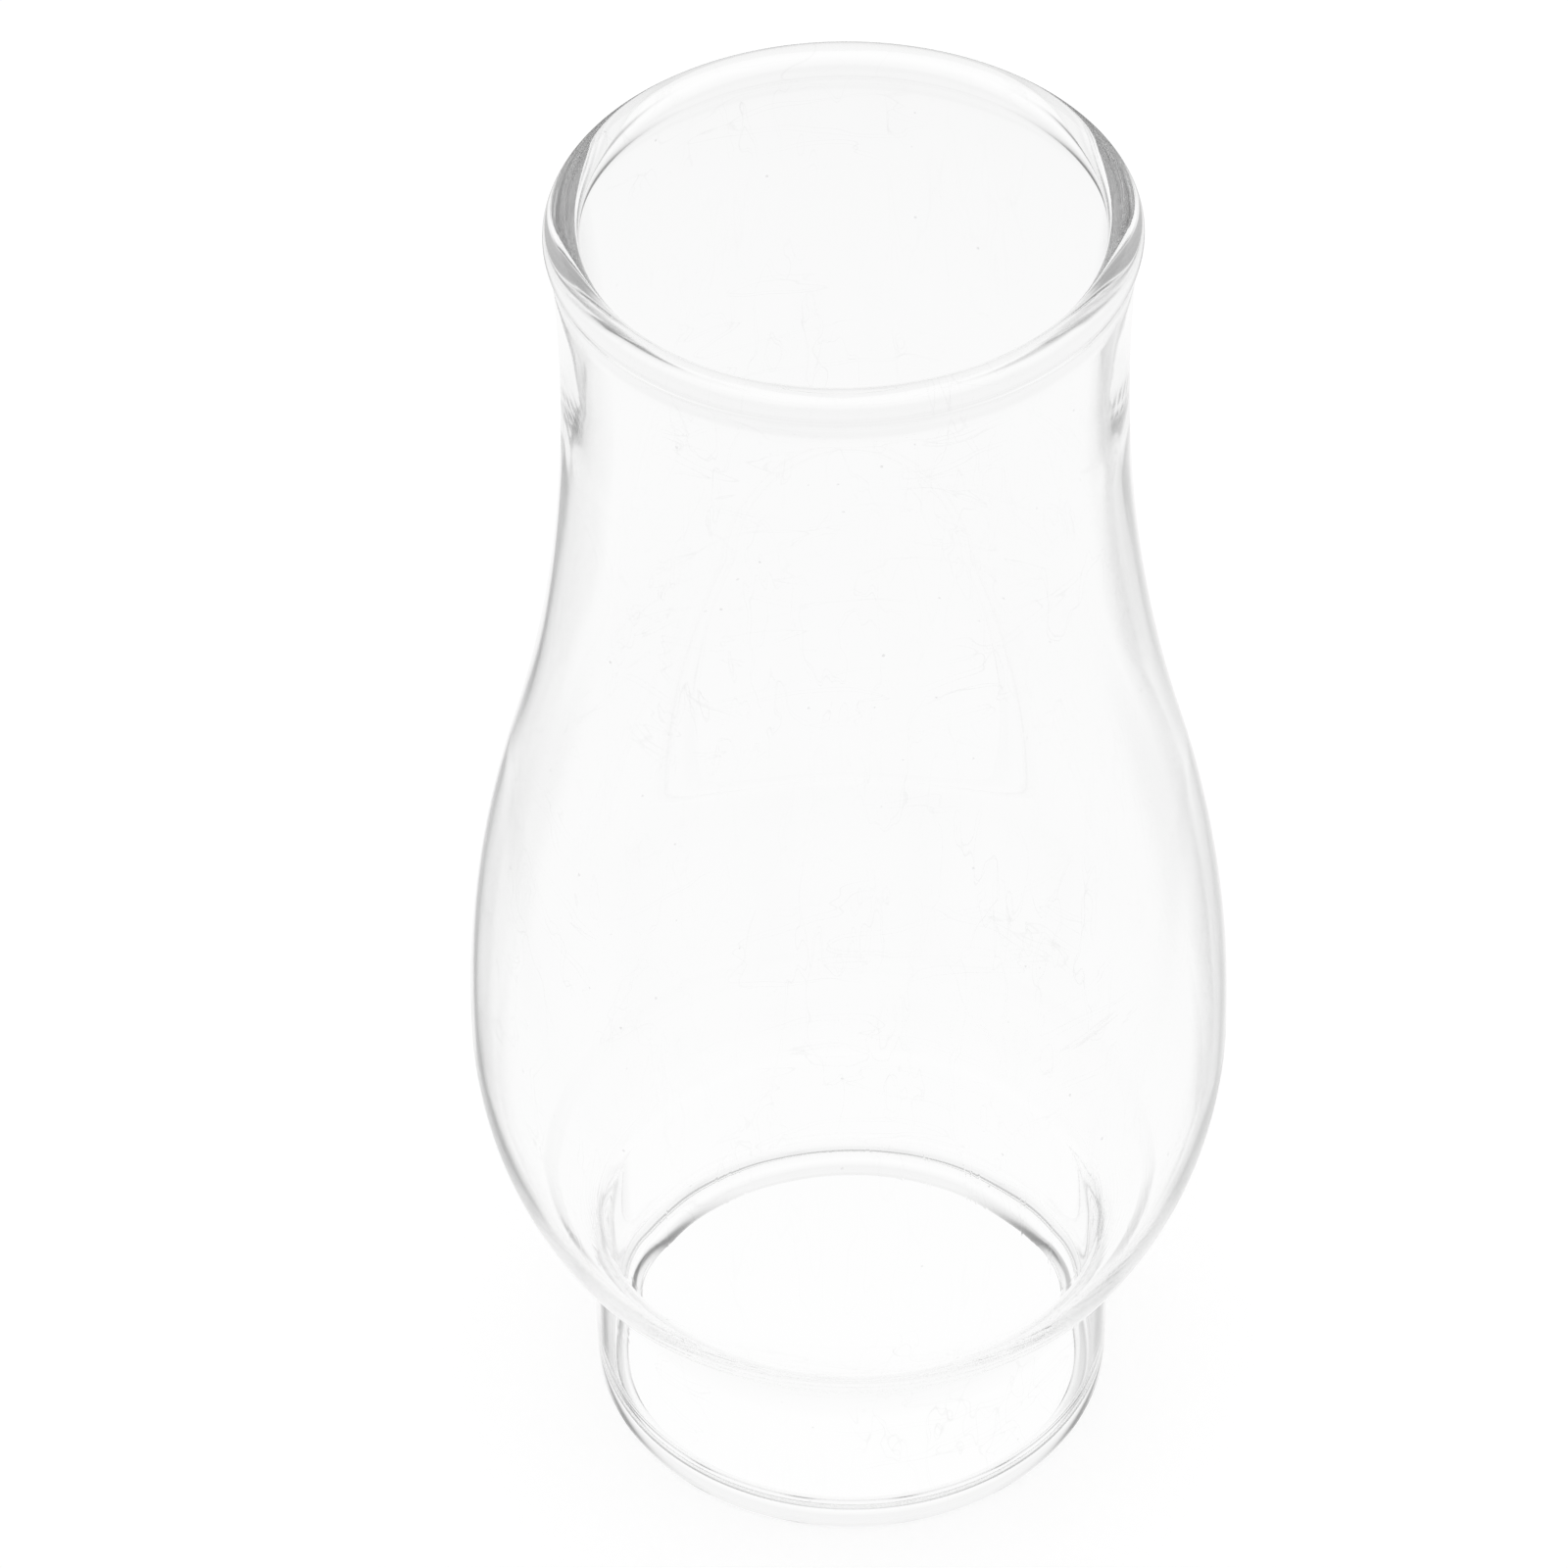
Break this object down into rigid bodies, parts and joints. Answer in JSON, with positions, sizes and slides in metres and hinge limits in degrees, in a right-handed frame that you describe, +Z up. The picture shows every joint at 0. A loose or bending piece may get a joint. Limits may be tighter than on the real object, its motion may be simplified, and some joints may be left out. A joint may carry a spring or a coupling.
{
  "type": "oil lamp glass",
  "caption": "Clear blown glass chimney for an oil lamp: round bulb, wide neck, straight collar below a soft crease, and rounded bead edges.",
  "frame": {"origin": "centre of the flat ring under the foot bead, on the axis of the flue", "axes": "+Z up the flue from foot to rim; the glass is round, so X and Y are any two level directions"},
  "size_m": [0.095, 0.095, 0.187],
  "materials": {
    "clear_glass": "clear, fire-polished, with faint drawing lines round the bulb's foot"
  },
  "bodies": {
    "root": {"glass_chimney": "clear_glass"}
  },
  "joints": []
}
